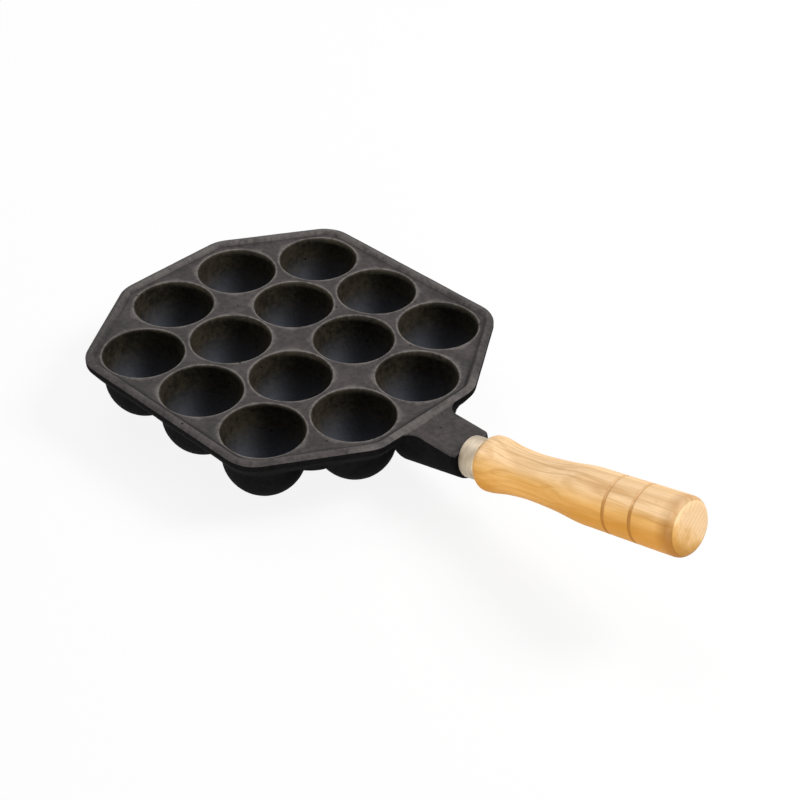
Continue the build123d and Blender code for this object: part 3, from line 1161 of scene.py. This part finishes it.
def combine(base, tool, operation):
    modifier = base.modifiers.new("combine", "BOOLEAN")
    modifier.operation = operation
    modifier.solver = "MANIFOLD"
    modifier.object = tool
    base.data = bpy.data.meshes.new_from_object(base.evaluated_get(bpy.context.evaluated_depsgraph_get()))
    base.modifiers.clear()
    bpy.data.objects.remove(tool)


# sand-cast surfaces are never quite true: every point goes in a little, by a slow noise
def roughen(mesh):
    size = plate["unevenSize"] * mm
    depth = plate["unevenness"] * mm
    middle, slow, fine = plate["unevenShares"]
    normals = [vertex.normal.copy() for vertex in mesh.vertices]
    for vertex, normal in zip(mesh.vertices, normals):
        place = vertex.co / size
        swell = noise.noise(place) * slow + noise.noise(place * plate["fineTimes"]) * fine
        vertex.co -= normal * depth * clamped(middle + swell)


# distance in from the nearest of the plate's edges
def edgeInset(x, y):
    edges = [(math.radians(angle), reach) for angle, reach in plate["reaches"]]
    return min(reach - x * math.cos(turn) - y * math.sin(turn) for turn, reach in edges)


# where the iron gets painted highlight, some wear on the rim's crest, and painted shade; heights, insets and
# widths in millimetres
lightShadeAndWear = {
    "lipPlace": 0.2,          # how far into the lip's rounding the painted highlight line runs
    "lipWidth": 0.5,
    "lipHeight": 1.2,
    "crestFrom": 1.5,         # wear along the rim's crest
    "crestOver": 0.3,
    "crestShare": 0.12,
    "handleFrom": 80.0,       # painted highlight on the rim beside the handle
    "handleOver": 6.0,
    "handleInset": 4.0,
    "handleHeight": 0.85,
    "wallInsets": (2.0, 4.9), # painted highlight on the far rim's inner wall
    "wallHeight": 0.2,
    "rimShare": 0.3,
    "sideOver": 60.0,         # from the middle to where a side counts in full
    "footWidth": 1.25,        # painted shade: a dark line at the rim's foot
    "footHeights": (-0.3, 1.3),
    "footLeast": 0.3,
    "farShadeInset": 1.6,         # painted shade on the far rim's outer wall
    "farShadeHeight": -3.0,
    "farShadeShare": 0.5,
    "cupDepth": 25.0,
    "cupSlope": -0.1,         # how far up a face looks, at least, in a cup, on its floor and on the plate's top
    "floorSlope": 0.5,
    "topSlope": 0.3,
    "topHeight": -2.0,
}
lipLine = cups["mouth"] - cups["lip"] * lightShadeAndWear["lipPlace"]


# painted highlight along the cup lips, on the rim beside the handle and on the far rim's inner wall; some wear
# on the crest
def litAndRubbedAt(x, y, z, away, inset):
    onLip = max(1 - abs(away - lipLine) / lightShadeAndWear["lipWidth"], 0) * max(1 - abs(z) / lightShadeAndWear["lipHeight"], 0)
    onCrest = clamped((z - lightShadeAndWear["crestFrom"]) / lightShadeAndWear["crestOver"]) * lightShadeAndWear["crestShare"]
    byHandle = 0
    if inset < lightShadeAndWear["handleInset"] and z > lightShadeAndWear["handleHeight"]:
        byHandle = clamped((x - lightShadeAndWear["handleFrom"]) / lightShadeAndWear["handleOver"]) * lightShadeAndWear["rimShare"]
    onWall = 0
    if lightShadeAndWear["wallInsets"][0] < inset < lightShadeAndWear["wallInsets"][1] and z > lightShadeAndWear["wallHeight"]:
        onWall = clamped((y - x) / lightShadeAndWear["sideOver"]) * lightShadeAndWear["rimShare"]
    return max(onLip, onCrest, byHandle, onWall)


# painted shade: darker on the far rim's outer wall, and a dark line at the rim's foot, strongest on the near
# and handle sides
def shadeAt(x, y, z, inset):
    if inset < lightShadeAndWear["farShadeInset"] and z > lightShadeAndWear["farShadeHeight"]:
        return clamped((y - x) / lightShadeAndWear["sideOver"]) * lightShadeAndWear["farShadeShare"]
    if lightShadeAndWear["footHeights"][0] < z < lightShadeAndWear["footHeights"][1]:
        fromFoot = abs(inset - plate["rim"][0][0]) / lightShadeAndWear["footWidth"]
        return max(1 - fromFoot, 0) * clamped((x - y) / lightShadeAndWear["sideOver"], lightShadeAndWear["footLeast"])
    return 0


# marks for the iron's material, and which of its three tones each face has
def markIron(mesh):
    names = ("litAndRubbed", "cupDepth", "pitsAndShade")
    litAndRubbed, depth, pitsAndShade = [mesh.attributes.new(name, "FLOAT", "POINT") for name in names]
    for vertex in mesh.vertices:
        x, y, z = (vertex.co - plateMiddle) / mm
        away = min(math.dist((x, y), centre) for centre in centres)
        inset = edgeInset(x, y)
        litAndRubbed.data[vertex.index].value = litAndRubbedAt(x, y, z, away, inset)
        pitsAndShade.data[vertex.index].value = shadeAt(x, y, z, inset)
        if away < cups["mouth"] and vertex.normal.z > 0:
            depth.data[vertex.index].value = clamped(-z / lightShadeAndWear["cupDepth"])
    cupFinish, shadedUnder = [list(iron["tones"]).index(name) for name in ("ironCup", "ironUnderShaded")]
    for face in mesh.polygons:
        x, y, z = (face.center - plateMiddle) / mm
        away, nearest = min((math.dist((x, y), centre), centre) for centre in centres)
        inward = face.normal.x * (nearest[0] - x) + face.normal.y * (nearest[1] - y)
        slope = face.normal.z
        if away < lipLine and slope > lightShadeAndWear["cupSlope"] and (inward > 0 or slope > lightShadeAndWear["floorSlope"]):
            face.material_index = cupFinish
        # faces that don't look up get the darker copy: painted shade
        elif not (slope > lightShadeAndWear["topSlope"] and z > lightShadeAndWear["topHeight"]):
            face.material_index = shadedUnder


def addCasting():
    piece = looseObject("iron_casting", plateForm())
    socketBlock = looseObject("socket_block", blockForm())
    for centre in centres:
        if centre[0] > cups["pitch"] and abs(centre[1]) < cups["pitch"]:
            combine(socketBlock, looseObject("hollow", hollowForm(centre)), "DIFFERENCE")
    combine(piece, socketBlock, "UNION")
    mesh = piece.data
    roughen(mesh)
    mesh.materials.clear()
    for name, tone in iron["tones"].items():
        mesh.materials.append(ironMaterial(name, tone))
    markIron(mesh)
    smoothOver(mesh, plate["sharpAngle"])
    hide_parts("pan_casting")
    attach(piece, "pan")
    print("casting has", len(mesh.polygons), "faces")


addCasting()
print("casting made")
